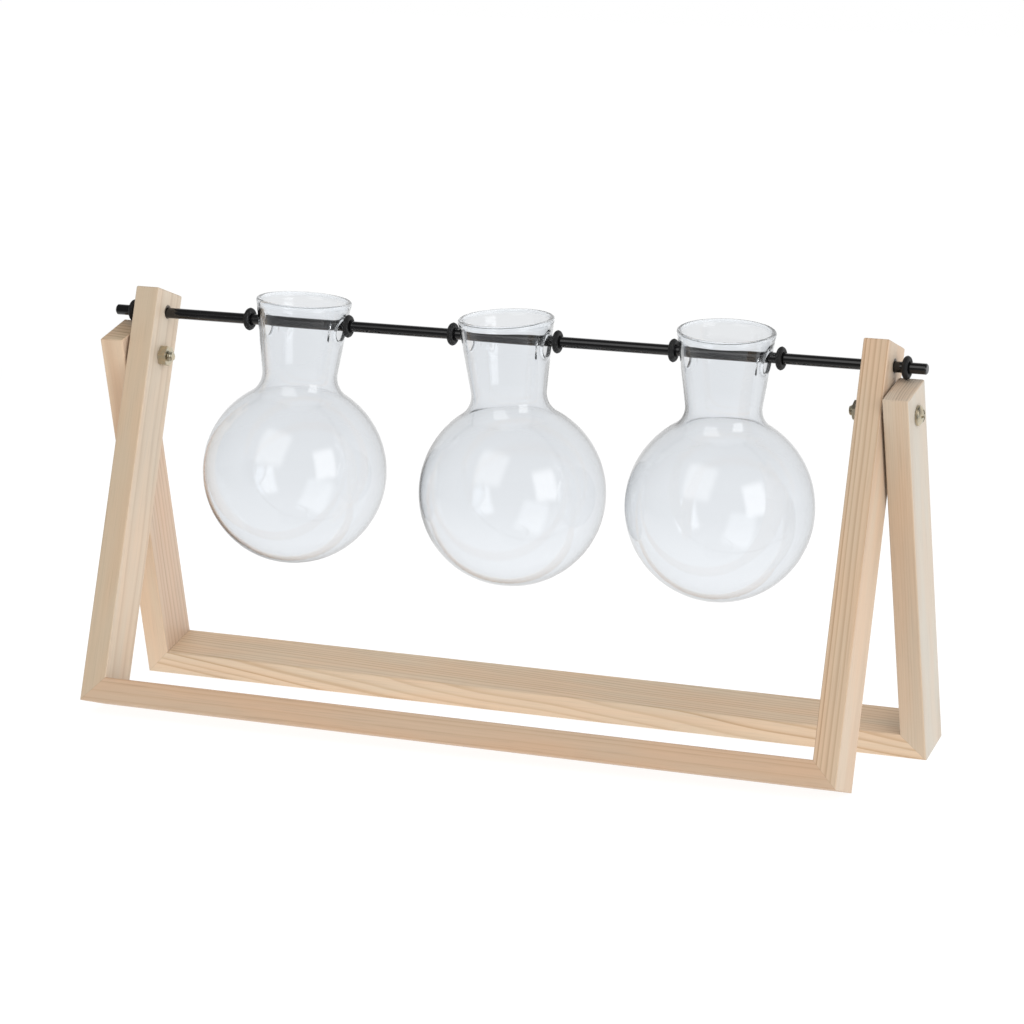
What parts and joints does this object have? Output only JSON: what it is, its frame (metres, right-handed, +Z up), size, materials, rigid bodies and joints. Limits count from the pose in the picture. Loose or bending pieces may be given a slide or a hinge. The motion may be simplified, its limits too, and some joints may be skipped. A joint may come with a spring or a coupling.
{
  "type": "propagation vase",
  "caption": "Tabletop propagation vase: round glass flasks hang by holes in their flared necks from a dark rod across a folding A-shaped stand of mitred pale timber frames.",
  "frame": {"origin": "on the table, under the middle of the stand's outline", "axes": "+X along the rod to the right, +Y from the front frame to the rear frame, +Z up"},
  "size_m": [0.3262, 0.0943, 0.1581],
  "materials": {
    "pine": "planed, unvarnished",
    "rod_black": "satin black",
    "ring_rubber": "matt black",
    "flask_glass": "clear, fire polished",
    "pivot_zinc": "yellow zinc plate",
    "brad_steel": "bright drawn wire"
  },
  "bodies": {
    "front_frame": {"front_left_leg": "pine", "front_right_leg": "pine", "front_rail": "pine", "front_corner_brads": "brad_steel", "pivot_screw_left": "pivot_zinc", "pivot_nut_left": "pivot_zinc", "pivot_washer_left": "pivot_zinc", "pivot_screw_right": "pivot_zinc", "pivot_nut_right": "pivot_zinc", "pivot_washer_right": "pivot_zinc"},
    "rear_frame": {"rear_left_leg": "pine", "rear_right_leg": "pine", "rear_rail": "pine", "rear_corner_brads": "brad_steel"},
    "rod": {"hanging_rod": "rod_black"},
    "left_flask_ring_left": {"left_flask_ring_left": "ring_rubber"},
    "left_flask_ring_right": {"left_flask_ring_right": "ring_rubber"},
    "middle_flask_ring_left": {"middle_flask_ring_left": "ring_rubber"},
    "middle_flask_ring_right": {"middle_flask_ring_right": "ring_rubber"},
    "right_flask_ring_left": {"right_flask_ring_left": "ring_rubber"},
    "right_flask_ring_right": {"right_flask_ring_right": "ring_rubber"},
    "end_ring_left": {"end_ring_left": "ring_rubber"},
    "end_ring_right": {"end_ring_right": "ring_rubber"},
    "left_flask": {"left_flask": "flask_glass"},
    "middle_flask": {"middle_flask": "flask_glass"},
    "right_flask": {"right_flask": "flask_glass"}
  },
  "joints": [
    {"name": "frame_fold", "type": "hinge", "parent": "front_frame", "child": "rear_frame", "pos_m": [0, 0.0021, 0.1314], "axis": [-1, 0, 0], "range_deg": [0, 22.7]},
    {"name": "rod_spin", "type": "hinge", "parent": "front_frame", "child": "rod", "pos_m": [0, 0.00695, 0.14727], "axis": [1, 0, 0], "continuous": true},
    {"name": "left_flask_swing", "type": "hinge", "parent": "front_frame", "child": "left_flask", "pos_m": [0, 0.00695, 0.14727], "axis": [1, 0, 0], "continuous": true},
    {"name": "middle_flask_swing", "type": "hinge", "parent": "front_frame", "child": "middle_flask", "pos_m": [0, 0.00695, 0.14727], "axis": [1, 0, 0], "continuous": true},
    {"name": "right_flask_swing", "type": "hinge", "parent": "front_frame", "child": "right_flask", "pos_m": [0, 0.00695, 0.14727], "axis": [1, 0, 0], "continuous": true},
    {"name": "left_flask_ring_left_slide", "type": "slide", "parent": "rod", "child": "left_flask_ring_left", "axis": [1, 0, 0], "range_m": [-0.0339, 0.0032]},
    {"name": "left_flask_ring_right_slide", "type": "slide", "parent": "rod", "child": "left_flask_ring_right", "axis": [1, 0, 0], "range_m": [-0.0001, 0.02]},
    {"name": "middle_flask_ring_left_slide", "type": "slide", "parent": "rod", "child": "middle_flask_ring_left", "axis": [1, 0, 0], "range_m": [-0.02, 0.0027]},
    {"name": "middle_flask_ring_right_slide", "type": "slide", "parent": "rod", "child": "middle_flask_ring_right", "axis": [1, 0, 0], "range_m": [-0.0011, 0.0212]},
    {"name": "right_flask_ring_left_slide", "type": "slide", "parent": "rod", "child": "right_flask_ring_left", "axis": [1, 0, 0], "range_m": [-0.0212, 0.001]},
    {"name": "right_flask_ring_right_slide", "type": "slide", "parent": "rod", "child": "right_flask_ring_right", "axis": [1, 0, 0], "range_m": [-0.0021, 0.0313]},
    {"name": "end_ring_left_slide", "type": "slide", "parent": "rod", "child": "end_ring_left", "axis": [1, 0, 0], "range_m": [-0.012, 0.0032]},
    {"name": "end_ring_right_slide", "type": "slide", "parent": "rod", "child": "end_ring_right", "axis": [1, 0, 0], "range_m": [-0.0032, 0.012]}
  ]
}
